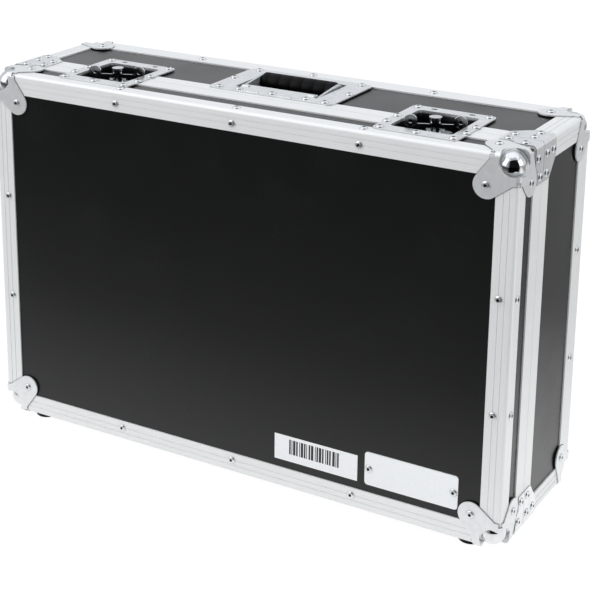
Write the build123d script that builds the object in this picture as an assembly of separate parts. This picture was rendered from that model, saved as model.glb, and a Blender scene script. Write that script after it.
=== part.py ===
from build123d import *
import math
import os

# Guitar pedal flight case on its hinge side: X is the width, -Y the lid, +Y the base, +Z the handle side.
# All sizes are in millimetres. The origin is the centre of the overall box, on the floor.

# ---------------------------------------------------------------- driving sizes
case_width = 600.0
case_height = 392.0
case_depth = 180.0
lid_depth = 55.0
foot_height = 9.0
foot_radius = 12.5

ply_thickness = 6.5
edging_thickness = 1.5
edging_radius = 3.5
edging_face_leg = 22.0
lid_side_leg = 17.0
base_side_leg = 27.0
groove_width = 0.8
groove_depth = 0.35
groove_insets = (7.8, 13.8)

closure_lid_flange = 20.0
closure_base_flange = 18.0
closure_inner_flange = 12.0
closure_inner_thickness = 1.2
closure_lid_web = 3.0
closure_base_web = 5.0
closure_gap = 0.4
tongue_inset = 3.3
tongue_width = 3.0
tongue_height = 2.2
tongue_clearance = 0.4
groove_bottom_clearance = 0.8

plate_thickness = 1.2
wing_thickness = 1.3

ball_radius = 13.4
ball_inset = 13.0
socket_radius = 15.5
socket_floor = 18.5
corner_wing_width = 28.5
corner_shoulder = 6.0
corner_slit_width = 2.2
corner_slit_length = 4.0
corner_moat_width = 0.8
corner_moat_depth = 0.6
corner_tab_radius = 13.0
corner_tab_inset = 31.0
corner_tab_depth = 26.0

brace_width = 38.0
brace_rivet_near = 12.0
brace_rivet_far = 31.0
lid_brace_length = 19.4
lid_brace_relief = 5.9
base_brace_length = 30.0
base_brace_shoulder = 15.0

rivet_head_radius = 4.2
rivet_head_height = 1.6
rivet_shank_radius = 2.0
rivet_hole_clearance = 0.1
rivet_eye_radius = 1.3
rivet_eye_depth = 1.2
rivet_end_gap = 0.5

face_rivet_inset = 14.0
lid_leg_rivet_inset = 9.5
base_leg_rivet_inset = 16.0
long_rivet_pitch = 140.0
short_rivet_pitch = 116.0

foam_thickness = 10.0
foam_clearance = 2.0
foam_split_gap = 3.0

hardware_centre = 4.0
latch_spacing = 370.0
latch_plate_width = 88.0
latch_plate_ahead = 41.5
latch_plate_length = 95.0
latch_plate_radius = 6.0
latch_recess_width = 64.0
latch_recess_ahead = 27.0
latch_recess_length = 66.0
latch_recess_depth = 16.0
latch_recess_radius = 5.0
latch_rivet_side = 41.0
latch_rivet_corner = 37.5
latch_hole_spacing = 40.0
latch_rivet_margin = 6.0
latch_side_rivet_set = 14.0
cutout_clearance = 0.4

spindle_set = 7.0
spindle_radius = 4.0
spindle_collar_radius = 5.2
spindle_cap_radius = 6.2
spindle_cap_top = 6.2
spindle_pin_radius = 2.5
spindle_washer_radius = 4.0
hub_drop = 4.5
wing_rest_angle = 24.0
wing_pin_radius = 1.5
wing_pin_reach = 9.0
ear_radius = 6.6
ear_offset = 23.6
ear_forward = 5.2
ear_rise = 7.2
ear_hole_radius = 2.0
wing_sheet = 1.6
bridge_low = 1.2
bridge_high = 5.0
hook_width = 24.0
hook_thickness = 2.0
hook_drop = 11.0
hook_travel = 5.0
hook_nose_ahead = 19.0
hook_tail = 16.0
running_clearance = 0.05

handle_plate_width = 146.0
handle_set = 8.0
handle_plate_length = 92.0
handle_plate_radius = 8.0
handle_recess_half = 48.5
handle_recess_front = 15.0
handle_recess_back = 78.0
handle_lip_back = 27.0
handle_recess_depth = 17.0
handle_recess_radius = 5.0
notch_inner = 42.7
bail_pin_radius = 3.0
bail_rod_radius = 4.0
bail_arm_inner = 43.0
bail_arm_thickness = 3.0
bail_pivot_eye = 4.5
bail_grip_eye = 8.0
bail_pivot_set = 21.0
bail_pivot_drop = 5.2
bail_pin_end = 28.0
boss_inner = 35.0
boss_outer = 42.4
boss_wall = 1.2
boss_swage_radius = 3.9
boss_swage_drop = 1.5
grip_radius = 10.0
grip_length = 85.6
grip_set = 65.0
grip_drop = 3.8
spring_wire = 0.7
spring_turns = 3.0
spring_pitch = 1.7
handle_rivet_corner = 61.5
handle_rivet_side = 68.0
handle_rivet_front = 39.0
handle_rivet_margin = 6.0
half_moon_offset = 19.0
half_moon_radius = 6.5

hinge_spacing = 190.0
hinge_length = 60.0
hinge_leaf_thickness = 1.5
hinge_leaf_width = 16.0
hinge_barrel_radius = 4.0
hinge_pin_radius = 2.0
hinge_knuckle_gap = 0.4
hinge_rivet_spread = 21.0

name_plate_width = 100.0
name_plate_height = 35.5
name_plate_thickness = 1.0
name_plate_margin = 95.4
name_plate_z = 48.0
name_plate_radius = 3.5
name_rivet_margin = 4.6
label_width = 95.0
label_height = 28.0
label_thickness = 0.25
label_margin = 201.4
label_z = 44.4

foot_inset_x = 39.0
foot_inset_y = 22.0
foot_edge = 2.5
foot_screw_radius = 2.0

# ---------------------------------------------------------------- derived places
half_w = case_width / 2
y_front = -case_depth / 2
y_back = case_depth / 2
y_split = y_front + lid_depth
z_bottom = foot_height
z_top = z_bottom + case_height
z_mid = (z_bottom + z_top) / 2
shell_inset = edging_thickness + ply_thickness
closure_reach = shell_inset + closure_inner_thickness
plate_top = z_top + plate_thickness
hinge_axis_z = z_bottom - hinge_barrel_radius
cutter_reach = case_width + case_height
spindle_y = y_split + spindle_set
latch_plate_y = y_split - latch_plate_ahead
latch_recess_y = y_split - latch_recess_ahead
hook_nose_y = y_split - hook_nose_ahead
handle_y = y_split + handle_set
pivot_y = handle_y + bail_pivot_set
pivot_z = z_top - bail_pivot_drop
grip_y = handle_y + grip_set
grip_z = z_top - grip_drop
name_plate_x = half_w - name_plate_margin
label_x = half_w - label_margin
rivet_hole_radius = rivet_shank_radius + rivet_hole_clearance
latch_centres = {
    "left": hardware_centre - latch_spacing / 2,
    "right": hardware_centre + latch_spacing / 2,
}
corners = [(sx, sz) for sz in (1, -1) for sx in (-1, 1)]


def block(x0, x1, y0, y1, z0, z1):
    """A box between two corners."""
    size = (abs(x1 - x0), abs(y1 - y0), abs(z1 - z0))
    centre = ((x0 + x1) / 2, (y0 + y1) / 2, (z0 + z1) / 2)
    return Pos(*centre) * Box(*size)


def rod(start, end, radius):
    """A cylinder from one point to another."""
    line = Vector(*end) - Vector(*start)
    plane = Plane(origin=start, z_dir=line.normalized())
    return plane * Cylinder(radius, line.length, align=(Align.CENTER, Align.CENTER, Align.MIN))


def flat_prism(points, plane, reach):
    """Extrude a flat outline both ways from a main plane."""
    return extrude(plane * Polygon(*points, align=None), reach, both=True)


def ring(outer_inset, inner_inset, y0, y1, radius=0.0):
    """A rectangular ring round the case, between two insets from its outer faces."""
    depth = abs(y1 - y0)
    outer_size = (case_width - 2 * outer_inset, case_height - 2 * outer_inset)
    inner_size = (case_width - 2 * inner_inset, case_height - 2 * inner_inset)
    face = Plane(origin=(0, min(y0, y1), z_mid), x_dir=(1, 0, 0), z_dir=(0, 1, 0))
    outer = RectangleRounded(*outer_size, radius) if radius else Rectangle(*outer_size)
    return extrude(face * (outer - Rectangle(*inner_size)), depth)


def mitre_wedges(y0, y1):
    """Four prisms that part a ring along its 45 degree mitres."""
    side = case_height / 2
    reach = 40.0
    run = side + reach
    wedges = {}
    face = Plane(origin=(0, (y0 + y1) / 2, z_mid), x_dir=(1, 0, 0), z_dir=(0, -1, 0))
    far = half_w + reach
    inner = half_w - side
    outlines = {
        "top": [(-far, run), (far, run), (inner, 0), (-inner, 0)],
        "bottom": [(-far, -run), (far, -run), (inner, 0), (-inner, 0)],
        "left": [(-far, run), (-far, -run), (-inner, 0)],
        "right": [(far, run), (far, -run), (inner, 0)],
    }
    for name, points in outlines.items():
        wedges[name] = flat_prism(points, face, (y1 - y0) / 2)
    return wedges


def edging_frame(y_face, y_leg, leg):
    """A mitred angle frame with a rounded outer edge and fine grooves along its legs."""
    inward = 1 if y_leg > y_face else -1
    y_min = min(y_face, y_leg)
    body = block(-half_w, half_w, y_face, y_leg, z_bottom, z_top)
    rim = [e for e in body.edges() if abs(e.center().Y - y_face) < 0.01]
    depth_edges = body.edges().filter_by(Axis.Y)
    body = fillet(ShapeList(rim + list(depth_edges)), edging_radius)
    t = edging_thickness
    hollow_start = y_face + inward * t
    hollow = block(-half_w + t, half_w - t, hollow_start, y_leg + inward, z_bottom + t, z_top - t)
    window_w = half_w - edging_face_leg
    window = block(
        -window_w, window_w, y_face - inward, y_leg, z_bottom + edging_face_leg, z_top - edging_face_leg
    )
    body = body - hollow - window
    for inset in groove_insets:
        body -= ring(inset, inset + groove_width, y_face - inward, y_face + inward * groove_depth)
    wedges = mitre_wedges(y_min - 1, y_min + leg + 1)
    return {side: body & wedge for side, wedge in wedges.items()}


def closure_frame(inward, flange, web, name):
    """A mitred closure frame: an H-section that holds the wall's edge, with a tongue or a groove."""
    face = y_split + inward * closure_gap / 2
    body = ring(0, edging_thickness, face, face + inward * flange, edging_radius)
    body += ring(0, closure_reach, face, face + inward * web, edging_radius)
    body += ring(shell_inset, closure_reach, face, face + inward * closure_inner_flange)
    far_tongue = tongue_inset + tongue_width
    if name == "tongue":
        body += ring(tongue_inset, far_tongue, face, face - inward * tongue_height)
    else:
        groove_start = tongue_inset - tongue_clearance
        groove_end = far_tongue + tongue_clearance
        depth = tongue_height + groove_bottom_clearance
        body -= ring(groove_start, groove_end, face, face + inward * depth)
    wedges = mitre_wedges(y_split - flange - 5, y_split + flange + 5)
    return {side: body & wedge for side, wedge in wedges.items()}


# ---------------------------------------------------------------- rivets
def rivet_solid(grip):
    """A blind rivet along +Z with its head on z = 0, a shank below it and an open eye."""
    head = Pos(0, 0, 0) * extrude(Circle(rivet_head_radius), rivet_head_height, taper=28)
    body = head + rod((0, 0, -grip), (0, 0, 0), rivet_shank_radius)
    eye_bottom = rivet_head_height - rivet_eye_depth
    return body - rod((0, 0, eye_bottom), (0, 0, rivet_head_height + 1), rivet_eye_radius)


class Rivets:
    """The rivets of one half: their solids, and the holes that they need."""

    def __init__(self):
        self.solids = []
        self.holes = []
        self.masters = {}

    def add(self, point, outward, lift=0.0, depth=shell_inset):
        """Set a rivet whose head sits lift above a face, over this depth of metal and plywood."""
        grip = lift + depth - rivet_end_gap
        key = round(grip, 4)
        if key not in self.masters:
            self.masters[key] = rivet_solid(grip)
        head = Vector(*point) + Vector(*outward) * lift
        place = Plane(origin=head, z_dir=outward)
        self.solids.append(place * self.masters[key])
        tip = head - Vector(*outward) * (grip + 0.2)
        start = head + Vector(*outward) * 0.5
        self.holes.append(rod(tuple(tip), tuple(start), rivet_hole_radius))


lid_rivets = Rivets()
base_rivets = Rivets()

FACES = {
    "top": (0, 0, 1),
    "bottom": (0, 0, -1),
    "left": (-1, 0, 0),
    "right": (1, 0, 0),
    "front": (0, -1, 0),
    "back": (0, 1, 0),
}


def edging_rivets(rivets, y_face, inward, leg_inset):
    """Rivets through both legs of an edging frame."""
    outward = (0, -inward, 0)
    y_leg = y_face + inward * leg_inset
    for dx in (-long_rivet_pitch, 0, long_rivet_pitch):
        for sz, name in ((1, "top"), (-1, "bottom")):
            edge_z = z_mid + sz * case_height / 2
            rivets.add((dx, y_face, edge_z - sz * face_rivet_inset), outward)
            rivets.add((dx, y_leg, edge_z), FACES[name])
    for dz in (-short_rivet_pitch / 2, short_rivet_pitch / 2):
        for sx, name in ((-1, "left"), (1, "right")):
            rivets.add((sx * (half_w - face_rivet_inset), y_face, z_mid + dz), outward)
            rivets.add((sx * half_w, y_leg, z_mid + dz), FACES[name])


# ---------------------------------------------------------------- corners and braces
def corner_skin(corner, sx, inward, sz, t):
    """The rounded skin over a corner of the case (under it where t is negative), and the solid inside."""
    far = 90.0
    outer = block(
        corner.X + sx * t, corner.X - sx * far, corner.Y - inward * t, corner.Y + inward * far,
        corner.Z + sz * t, corner.Z - sz * far,
    )
    inside = block(
        corner.X, corner.X - sx * far, corner.Y, corner.Y + inward * far, corner.Z, corner.Z - sz * far
    )
    outer = fillet(edges_at(outer, corner, 2 * abs(t)), edging_radius + t)
    inside = fillet(edges_at(inside, corner, 0), edging_radius)
    return (outer - inside if t > 0 else inside - outer), inside


def edges_at(solid, corner, reach):
    """The edges of a box that meet at the vertex nearest to a point."""
    chosen = []
    for edge in solid.edges():
        ends = [v.center() for v in edge.vertices()]
        if min((end - corner).length for end in ends) < reach + 0.01:
            chosen.append(edge)
    return ShapeList(chosen)


def tangent_point(start, centre, radius, turn):
    """Where the line from a point touches a circle, on its clockwise (-1) or anticlockwise (1) side."""
    across = centre[0] - start[0]
    up = centre[1] - start[1]
    run = math.hypot(across, up)
    angle = math.atan2(up, across) + turn * math.asin(radius / run)
    length = math.sqrt(run**2 - radius**2)
    return (start[0] + length * math.cos(angle), start[1] + length * math.sin(angle))


def tab_outline(far_u, far_v):
    """One wing of a ball corner: two shoulders that run to a round tab, with a slit at each fold."""
    t = wing_thickness
    w = corner_wing_width
    slit_end = w - corner_slit_length
    half_slit = corner_slit_width
    tab = (far_u, far_v)
    points = [
        (-t, -t),
        (slit_end, -t),
        (slit_end, half_slit),
        (w, half_slit),
        (w, corner_shoulder),
        tangent_point((w, corner_shoulder), tab, corner_tab_radius, -1),
        tab,
        tangent_point((corner_shoulder, w), tab, corner_tab_radius, 1),
        (corner_shoulder, w),
        (half_slit, w),
        (half_slit, slit_end),
        (-t, slit_end),
    ]
    return Polygon(*points, align=None) + Pos(*tab) * Circle(corner_tab_radius)


def corner_frames(sx, y_face, inward, sz):
    """One corner of the case, and for each of its wings the plane it lies on and its tab's far place."""
    corner = Vector(sx * half_w, y_face, z_mid + sz * case_height / 2)
    across = Vector(-sx, 0, 0)
    down = Vector(0, 0, -sz)
    deep = Vector(0, inward, 0)
    wings = []
    for u_dir, v_dir, far_v in (
        (across, down, corner_tab_inset), (across, deep, corner_tab_depth), (down, deep, corner_tab_depth)
    ):
        wings.append((Plane(origin=corner, x_dir=u_dir, z_dir=u_dir.cross(v_dir)), far_v))
    return corner, corner + (across + down + deep) * ball_inset, wings


def diagonal_drum(corner, centre, radius, floor):
    """A cylinder round a corner's diagonal, from outside the case to a floor this far in from the corner."""
    inward = (centre - corner).normalized()
    return rod(tuple(corner - inward * socket_radius), tuple(corner + inward * floor), radius)


def corner_cutters(sx, y_face, inward, sz):
    """What the edging and walls lose at one corner: the ball's seat, and a moat round each wing."""
    corner, centre, wings = corner_frames(sx, y_face, inward, sz)
    cutters = [diagonal_drum(corner, centre, socket_radius + wing_thickness, socket_floor + wing_thickness)]
    layer, _ = corner_skin(corner, sx, inward, sz, -corner_moat_depth)
    for plane, far_v in wings:
        outline = tab_outline(corner_tab_inset, far_v)
        moat = offset(outline, corner_moat_width) - outline
        cutters.append(layer & extrude(plane * moat, edging_radius + 0.5, both=True))
    return cutters


def ball_corner(sx, y_face, inward, sz):
    """A cast ball corner: a ball in a round socket, with three wings over the faces of one corner."""
    corner, centre, wings = corner_frames(sx, y_face, inward, sz)
    skin, inside = corner_skin(corner, sx, inward, sz, wing_thickness)
    seat = diagonal_drum(corner, centre, socket_radius + wing_thickness, socket_floor + wing_thickness)
    socket = diagonal_drum(corner, centre, socket_radius, socket_floor)
    ball = Pos(*centre) * Sphere(ball_radius)
    body = (skin + inside) & seat
    for plane, far_v in wings:
        wing_area = extrude(plane * tab_outline(corner_tab_inset, far_v), edging_radius + 0.5, both=True)
        body += skin & wing_area
    body = body - (socket - ball) + (ball & seat)
    room = corner + (centre - corner) * (shell_inset / ball_inset)
    far = room + (centre - corner) * 2
    return body - block(room.X, far.X, room.Y, far.Y, room.Z, far.Z)


def brace(sx, sz, inward):
    """A bent brace over a depth edge, against the split."""
    t = plate_thickness
    face = y_split + inward * closure_gap / 2
    length = lid_brace_length if inward < 0 else base_brace_length
    x_edge = sx * half_w
    z_edge = z_mid + sz * case_height / 2
    bar = block(
        x_edge + sx * t, x_edge - sx * brace_width, face, face + inward * length,
        z_edge + sz * t, z_edge - sz * brace_width,
    )
    core = block(x_edge, x_edge - sx * 60, face - inward, face + inward * 60, z_edge, z_edge - sz * 60)
    bar = fillet(depth_edge(bar, x_edge, z_edge), edging_radius + t)
    core = fillet(depth_edge(core, x_edge, z_edge), edging_radius)
    near = brace_rivet_near + rivet_head_radius + 3
    if inward < 0:
        far = length - lid_brace_relief
        outline = [
            (-9, 0), (-9, length), (near, length), (near + 5, far), (brace_width, far), (brace_width, 0)
        ]
    else:
        far = base_brace_shoulder
        outline = [(-9, 0), (-9, length), (near, length), (brace_width, far), (brace_width, 0)]
    top = [(x_edge - sx * u, face + inward * v) for u, v in outline]
    side = [(face + inward * v, z_edge - sz * u) for u, v in outline]
    body = (bar - core) & flat_prism(top, Plane.XY, cutter_reach)
    return body & flat_prism(side, Plane.YZ, cutter_reach)


def depth_edge(solid, x_edge, z_edge):
    """The edge along the depth that lies nearest to a depth edge of the case."""
    found = solid.edges().filter_by(Axis.Y)
    return found.sort_by(lambda e: math.hypot(e.center().X - x_edge, e.center().Z - z_edge))[0]


def place_corner_hardware(rivets, y_face, inward):
    """Ball corners and braces of one half, with the rivets that hold them."""
    balls = []
    braces = []
    for sx, sz in corners:
        z_edge = z_mid + sz * case_height / 2
        balls.append(ball_corner(sx, y_face, inward, sz))
        braces.append(brace(sx, sz, -inward))
        level = FACES["top"] if sz > 0 else FACES["bottom"]
        side = FACES["right"] if sx > 0 else FACES["left"]
        tab_x = sx * (half_w - corner_tab_inset)
        tab_z = z_edge - sz * corner_tab_inset
        y_tab = y_face + inward * corner_tab_depth
        rivets.add((tab_x, y_face, tab_z), (0, -inward, 0), wing_thickness)
        rivets.add((tab_x, y_tab, z_edge), level, wing_thickness)
        rivets.add((sx * half_w, y_tab, tab_z), side, wing_thickness)
        if inward > 0:
            spots = [(brace_rivet_near, 14.0), (brace_rivet_far, 7.5)]
            direction = -1
        else:
            spots = [(brace_rivet_near, 8.0), (brace_rivet_far, 8.0), (brace_rivet_near, 23.5)]
            direction = 1
        for across, along in spots:
            y_rivet = y_split + direction * along
            rivets.add((sx * (half_w - across), y_rivet, z_edge), level, plate_thickness)
            rivets.add((sx * half_w, y_rivet, z_edge - sz * across), side, plate_thickness)
    return balls, braces


# ---------------------------------------------------------------- dishes
def pan(x0, x1, y0, y1, depth, radius):
    """A pressed pan under the top face: its outer block, and the hollow in it."""
    t = plate_thickness
    floor = z_top - depth
    outer = block(x0 - t, x1 + t, y0 - t, y1 + t, floor - t, z_top)
    hollow = block(x0, x1, y0, y1, floor, plate_top + 5)
    hollow = fillet(hollow.edges().filter_by(Axis.Z), radius)
    outer = fillet(outer.edges().filter_by(Axis.Z), radius + t)
    return outer, hollow


def plate(x0, x1, y0, y1, radius):
    """A flat plate on the outer faces of the top, with rounded corners."""
    sheet = block(x0, x1, y0, y1, z_top, plate_top)
    return fillet(sheet.edges().filter_by(Axis.Z), radius)


def latch_dish(cx):
    """The whole recessed dish of one latch, before it is parted at the split."""
    x0 = cx - latch_recess_width / 2
    x1 = cx + latch_recess_width / 2
    y0 = latch_recess_y
    y1 = y0 + latch_recess_length
    outer, hollow = pan(x0, x1, y0, y1, latch_recess_depth, latch_recess_radius)
    half = latch_plate_width / 2
    y_far = latch_plate_y + latch_plate_length
    sheet = plate(cx - half, cx + half, latch_plate_y, y_far, latch_plate_radius)
    body = sheet + outer - hollow
    hole_y = y_far - latch_rivet_margin
    for dx in (-latch_hole_spacing / 2, latch_hole_spacing / 2):
        slot = Pos(cx + dx, hole_y, z_top) * extrude(SlotOverall(6.4, 4.0), 10, both=True)
        body -= slot
    floor = z_top - latch_recess_depth
    bore = spindle_pin_radius + running_clearance
    return body - rod((cx, spindle_y, floor - 2), (cx, spindle_y, floor + 1), bore)


def latch_cutout(cx, y_low, y_high):
    """The space that a latch dish needs in walls, closures and foam."""
    c = cutout_clearance + plate_thickness
    half = latch_recess_width / 2 + c
    y0 = max(y_low, latch_recess_y - c)
    y1 = min(y_high, latch_recess_y + latch_recess_length + c)
    return block(cx - half, cx + half, y0, y1, z_top - latch_recess_depth - c, z_top + 10)


def latch_rivets(cx):
    """Rivets of one latch: those of the keeper half, then those of the dish half."""
    y_low = latch_plate_y + latch_rivet_margin
    y_high = latch_plate_y + latch_plate_length - latch_rivet_margin
    up = FACES["top"]
    for dx in (-latch_rivet_corner, 0, latch_rivet_corner):
        lid_rivets.add((cx + dx, y_low, z_top), up, plate_thickness)
    for dx in (-latch_rivet_corner, latch_rivet_corner):
        base_rivets.add((cx + dx, y_high, z_top), up, plate_thickness)
    for dx in (-latch_rivet_side, latch_rivet_side):
        lid_rivets.add((cx + dx, y_split - latch_side_rivet_set, z_top), up, plate_thickness)
        base_rivets.add((cx + dx, y_split + latch_side_rivet_set - 5, z_top), up, plate_thickness)


def keeper_lip(cx):
    """The upright lip on the keeper's floor that the hook's nose pulls against."""
    floor = z_top - latch_recess_depth
    y0 = hook_nose_y + hook_thickness + 0.8
    top = z_top - hook_drop - hook_thickness - 0.4
    half = hook_width / 2 - 1
    return block(cx - half, cx + half, y0, y0 + hook_thickness, floor, top)


def hook(cx):
    """The hook plate: it lies round the spindle and its nose turns down in front of the lip."""
    z1 = z_top - hook_drop
    z0 = z1 - hook_thickness
    y0 = hook_nose_y
    half = hook_width / 2
    slot_half = spindle_radius + 0.4
    body = block(cx - half, cx + half, y0, spindle_y + hook_tail, z0, z1)
    body = fillet(body.edges().filter_by(Axis.Z).sort_by(Axis.Y)[-2:], 4)
    nose_drop = z_top - latch_recess_depth + 0.6
    body += block(cx - half + 2, cx + half - 2, y0, y0 + hook_thickness, nose_drop, z0)
    rib = block(cx - half + 3, cx + half - 3, y0 + 6, y0 + 9, z1, z1 + 0.8)
    slot = block(cx - slot_half, cx + slot_half, spindle_y, spindle_y + hook_travel, z0 - 1, z1 + 1)
    ends = rod((cx, spindle_y, z0 - 1), (cx, spindle_y, z1 + 1), slot_half)
    ends += rod((cx, spindle_y + hook_travel, z0 - 1), (cx, spindle_y + hook_travel, z1 + 1), slot_half)
    return body + rib - slot - ends


def turned(body, cx):
    """A piece of the latch turned to the wing's rest angle about the spindle."""
    return Pos(cx, spindle_y, 0) * Rot(0, 0, wing_rest_angle) * Pos(-cx, -spindle_y, 0) * body


def spindle(cx):
    """The turning spindle: a post through the hook, its cap, and two trunnions for the wing."""
    floor = z_top - latch_recess_depth
    hub_z = z_top - hub_drop
    cap_low = hub_z + bridge_high + 0.6
    cap_high = z_top + spindle_cap_top
    washer_top = floor - plate_thickness - 0.4
    collar_low = z_top - hook_drop + 0.4
    stages = [
        (floor + 0.4, cap_low + 0.1, spindle_radius),
        (collar_low, collar_low + 1.2, spindle_collar_radius),
        (cap_low, cap_high, spindle_cap_radius),
        (washer_top - 0.1, floor + 0.5, spindle_pin_radius),
        (washer_top - 1.5, washer_top, spindle_washer_radius),
    ]
    reach = wing_pin_reach
    body = rod((cx - reach, spindle_y, hub_z), (cx + reach, spindle_y, hub_z), wing_pin_radius)
    for low, high, radius in stages:
        body += rod((cx, spindle_y, low), (cx, spindle_y, high), radius)
    return turned(body, cx)


def wing(cx):
    """The butterfly wing: a bridge in front of the spindle, two loops and two dished ears."""
    hub_z = z_top - hub_drop
    y_sheet = spindle_y - ear_forward
    y0 = y_sheet - wing_sheet / 2
    y1 = y_sheet + wing_sheet / 2
    z_ear = hub_z + ear_rise
    loop_outer = wing_pin_radius + running_clearance + 1.3
    body = block(cx - ear_offset, cx + ear_offset, y0, y1, hub_z + bridge_low, hub_z + bridge_high)
    for sx in (-1, 1):
        x_ear = cx + sx * ear_offset
        ear = rod((x_ear, y0, z_ear), (x_ear, y1, z_ear), ear_radius)
        rim = rod((x_ear, y0 - 0.9, z_ear), (x_ear, y0, z_ear), ear_radius)
        rim -= rod((x_ear, y0 - 1, z_ear), (x_ear, y0 + 0.1, z_ear), ear_radius - 1.3)
        body += ear + rim
        body -= rod((x_ear, y0 - 2, z_ear), (x_ear, y1 + 2, z_ear), ear_hole_radius)
        near = cx + sx * (spindle_radius + 0.9)
        far = cx + sx * (wing_pin_reach - 0.3)
        body += rod((near, spindle_y, hub_z), (far, spindle_y, hub_z), loop_outer)
        body += block(near, far, y0, spindle_y, hub_z + bridge_low, hub_z + bridge_low + wing_sheet)
    bore = rod((cx - 12, spindle_y, hub_z), (cx + 12, spindle_y, hub_z), wing_pin_radius + running_clearance)
    return turned(body - bore, cx)


# ---------------------------------------------------------------- handle
def handle_outline():
    """The handle's opening, with a notch for each arm of the bail."""
    hx = handle_recess_half
    cx = hardware_centre
    y_lip = handle_y + handle_lip_back
    y0 = handle_y + handle_recess_front
    y1 = handle_y + handle_recess_back
    opening = block(cx - hx, cx + hx, y_lip, y1, z_top - 1, plate_top + 1)
    opening += block(cx - hx, cx - notch_inner, y0, y_lip + 1, z_top - 1, plate_top + 1)
    opening += block(cx + notch_inner, cx + hx, y0, y_lip + 1, z_top - 1, plate_top + 1)
    return fillet(opening.edges().filter_by(Axis.Z), 1.5)


def handle_dish():
    """The recessed handle dish: plate, pan, pivot bosses and two half-moon swages."""
    cx = hardware_centre
    y0 = handle_y + handle_recess_front
    y1 = handle_y + handle_recess_back
    hx = handle_recess_half
    outer, hollow = pan(cx - hx, cx + hx, y0, y1, handle_recess_depth, handle_recess_radius)
    half = handle_plate_width / 2
    sheet = plate(cx - half, cx + half, handle_y, handle_y + handle_plate_length, handle_plate_radius)
    below = block(cx - 200, cx + 200, y_front, y_back, z_bottom, z_top)
    above = block(cx - 200, cx + 200, y_front, y_back, z_top, z_top + 20)
    body = (outer - hollow) & below
    body += sheet - handle_outline()
    bore = bail_pin_radius + running_clearance
    for sx in (-1, 1):
        a = cx + sx * boss_inner
        b = cx + sx * boss_outer
        body += rod((a, pivot_y, pivot_z), (b, pivot_y, pivot_z), bore + boss_wall)
        body += block(a, b, y0 - plate_thickness, pivot_y, pivot_z - 1.5, z_top)
        swage_z = z_top - boss_swage_drop
        swage = rod((a, pivot_y, swage_z), (b, pivot_y, swage_z), boss_swage_radius)
        body += swage & above
        moon_x = cx + sx * half_moon_offset
        moon = rod((moon_x, handle_y, z_top), (moon_x, handle_y, plate_top + 1), half_moon_radius)
        body += moon & block(cx - half, cx + half, handle_y, handle_y + 20, z_top, plate_top + 1)
    for sx in (-1, 1):
        a = cx + sx * (boss_inner - 1)
        b = cx + sx * (boss_outer + 1)
        body -= rod((a, pivot_y, pivot_z), (b, pivot_y, pivot_z), bore)
    return body


def bail():
    """The steel bail: two flat arms, the rod through the grip, and a pivot pin on each arm."""
    cx = hardware_centre
    reach = bail_arm_inner + bail_arm_thickness
    body = rod((cx - reach, grip_y, grip_z), (cx + reach, grip_y, grip_z), bail_rod_radius)
    run = math.hypot(grip_y - pivot_y, grip_z - pivot_z)
    tilt = math.atan2(grip_z - pivot_z, grip_y - pivot_y)
    lean = math.acos((bail_pivot_eye - bail_grip_eye) / run)
    near_y = bail_pivot_eye * math.cos(tilt + lean)
    near_z = bail_pivot_eye * math.sin(tilt + lean)
    far_y = bail_grip_eye * math.cos(tilt + lean)
    far_z = bail_grip_eye * math.sin(tilt + lean)
    low_y = math.cos(tilt - lean)
    low_z = math.sin(tilt - lean)
    outline = [
        (pivot_y + near_y, pivot_z + near_z),
        (grip_y + far_y, grip_z + far_z),
        (grip_y + bail_grip_eye * low_y, grip_z + bail_grip_eye * low_z),
        (pivot_y + bail_pivot_eye * low_y, pivot_z + bail_pivot_eye * low_z),
    ]
    for sx in (-1, 1):
        a = cx + sx * bail_arm_inner
        b = cx + sx * reach
        web = flat_prism(outline, Plane(origin=((a + b) / 2, 0, 0), z_dir=(1, 0, 0), x_dir=(0, 1, 0)),
                         bail_arm_thickness / 2)
        body += web + rod((a, pivot_y, pivot_z), (b, pivot_y, pivot_z), bail_pivot_eye)
        body += rod((a, grip_y, grip_z), (b, grip_y, grip_z), bail_grip_eye)
        body += rod((cx + sx * bail_pin_end, pivot_y, pivot_z), (a, pivot_y, pivot_z), bail_pin_radius)
    return body


def grip():
    """The moulded rubber grip on the bail's rod."""
    cx = hardware_centre
    half = grip_length / 2
    body = rod((cx - half, grip_y, grip_z), (cx + half, grip_y, grip_z), grip_radius)
    body = fillet(body.edges(), 2.0)
    reach = half + 1
    return body - rod((cx - reach, grip_y, grip_z), (cx + reach, grip_y, grip_z), bail_rod_radius)


def return_spring():
    """The torsion spring on the left pivot stub."""
    cx = hardware_centre
    x0 = cx - boss_inner + 1.0
    mean = bail_pin_radius + spring_wire + 0.4
    coil = Helix(spring_pitch, spring_pitch * spring_turns, mean)
    wire = sweep(Plane(origin=coil @ 0, z_dir=coil % 0) * Circle(spring_wire), path=coil, is_frenet=True)
    return Pos(x0, pivot_y, pivot_z) * Rot(0, 90, 0) * wire


def name_plate_rivets():
    """A small rivet at each end of the name plate."""
    y_face = y_front + edging_thickness
    reach = name_plate_width / 2 - name_rivet_margin
    z = z_bottom + name_plate_z
    for x in (name_plate_x - reach, name_plate_x + reach):
        lid_rivets.add((x, y_face, z), FACES["front"], name_plate_thickness, ply_thickness)


def handle_rivets():
    """Rivets round the handle plate."""
    cx = hardware_centre
    y_low = handle_y + handle_rivet_margin
    y_high = handle_y + handle_plate_length - handle_rivet_margin
    y_mid = (y_low + y_high) / 2
    spots = [(sx * handle_rivet_corner, y) for sx in (-1, 1) for y in (y_low, y_high)]
    spots += [(sx * handle_rivet_side, y_mid) for sx in (-1, 1)]
    spots += [(dx, y_low + 2) for dx in (-handle_rivet_front, 0, handle_rivet_front)]
    for dx, y in spots:
        base_rivets.add((cx + dx, y, z_top), FACES["top"], plate_thickness)


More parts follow.
